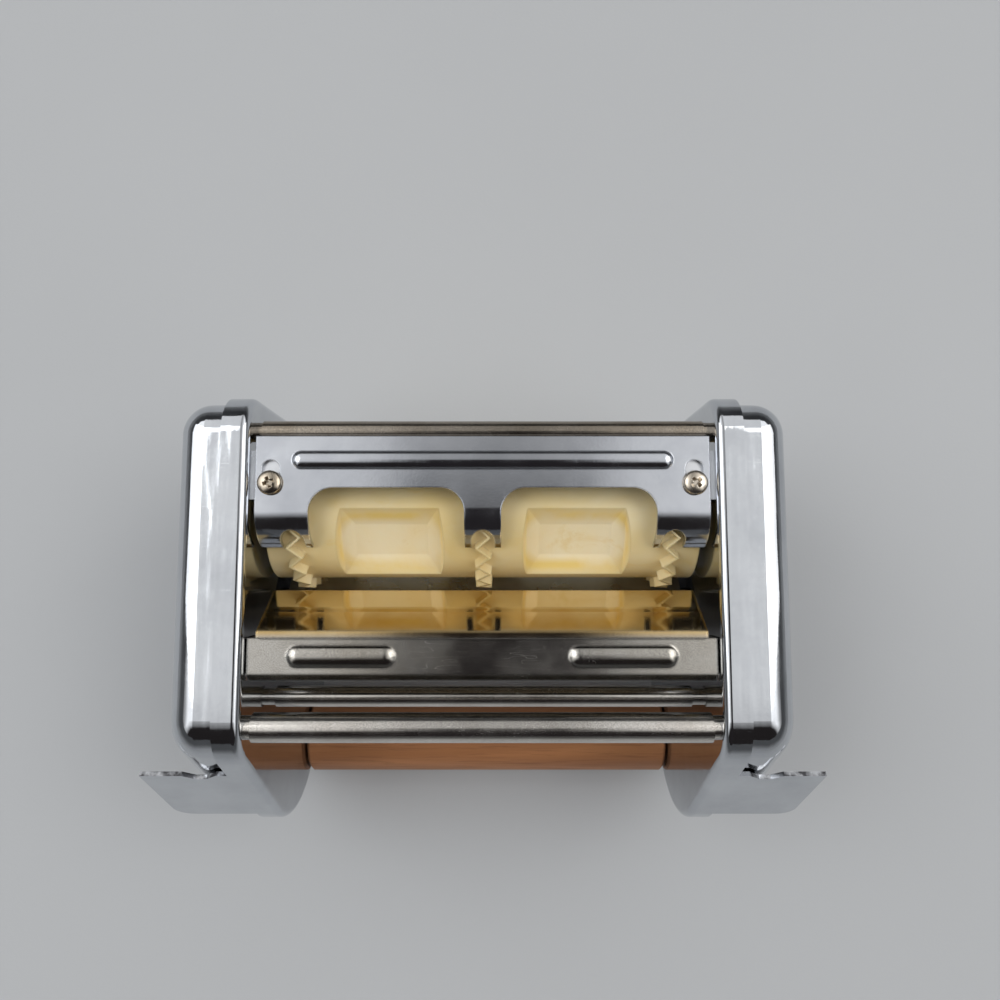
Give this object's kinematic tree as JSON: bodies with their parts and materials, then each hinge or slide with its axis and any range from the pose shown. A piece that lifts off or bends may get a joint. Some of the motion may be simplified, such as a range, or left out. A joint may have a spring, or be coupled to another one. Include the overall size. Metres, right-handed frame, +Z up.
{
  "type": "ravioli maker",
  "caption": "Tabletop ravioli maker attachment: chromed sides, pocketed mold roller geared to a smooth counter roller, comb plate, feed plate and a wooden roller.",
  "frame": {"origin": "on the floor under the middle of the object's box", "axes": "+X along the rollers to the right, towards the crank socket; +Y to the back; +Z up"},
  "size_m": [0.18, 0.1216, 0.093],
  "materials": {
    "chrome": "polished chrome plate",
    "polished_steel": "polished nickel plate, satin on the flat strip",
    "nickel": "satin nickel plate",
    "zinc_steel": "bright zinc plate",
    "bush_bronze": "sintered bronze",
    "roller_plastic": "cream moulded plastic, semi-gloss",
    "wood": "oiled beech"
  },
  "bodies": {
    "base": {"left_frame": "chrome", "right_frame": "chrome", "left_cover": "chrome", "right_cover": "chrome", "back_tie_rod": "nickel", "front_tie_rod": "nickel", "middle_tie_rod": "nickel", "wooden_roller_axle": "zinc_steel", "left_tie_rod_nuts": "zinc_steel", "right_tie_rod_nuts": "zinc_steel", "left_mold_bush": "bush_bronze", "right_mold_bush": "bush_bronze", "left_counter_bush": "bush_bronze", "right_counter_bush": "bush_bronze", "comb_plate": "chrome", "left_comb_bracket": "zinc_steel", "right_comb_bracket": "zinc_steel", "comb_plate_screws": "nickel", "feed_plate": "polished_steel", "feed_plate_screws": "zinc_steel", "left_cover_posts": "zinc_steel", "right_cover_posts": "zinc_steel", "left_cover_screws": "chrome", "right_cover_screws": "chrome"},
    "mold_drum": {"mold_roller": "roller_plastic", "mold_shaft": "zinc_steel", "mold_gear": "zinc_steel", "mold_shaft_clip": "zinc_steel"},
    "counter_drum": {"counter_roller": "nickel", "counter_shaft": "zinc_steel", "counter_gear": "zinc_steel", "counter_shaft_clips": "zinc_steel"},
    "wood_drum": {"wooden_roller": "wood"}
  },
  "joints": [
    {"name": "counter_spin", "type": "hinge", "parent": "base", "child": "counter_drum", "pos_m": [0, 0.00022, 0.0409], "axis": [1, 0, 0], "continuous": true},
    {"name": "mold_spin", "type": "hinge", "parent": "base", "child": "mold_drum", "pos_m": [0, 0.0292, 0.067], "axis": [1, 0, 0], "continuous": true},
    {"name": "wooden_spin", "type": "hinge", "parent": "base", "child": "wood_drum", "pos_m": [0, -0.0412, 0.015], "axis": [1, 0, 0], "continuous": true}
  ],
  "couplings": [
    {"joint": "mold_spin", "follows": "counter_spin", "ratio": -1}
  ]
}
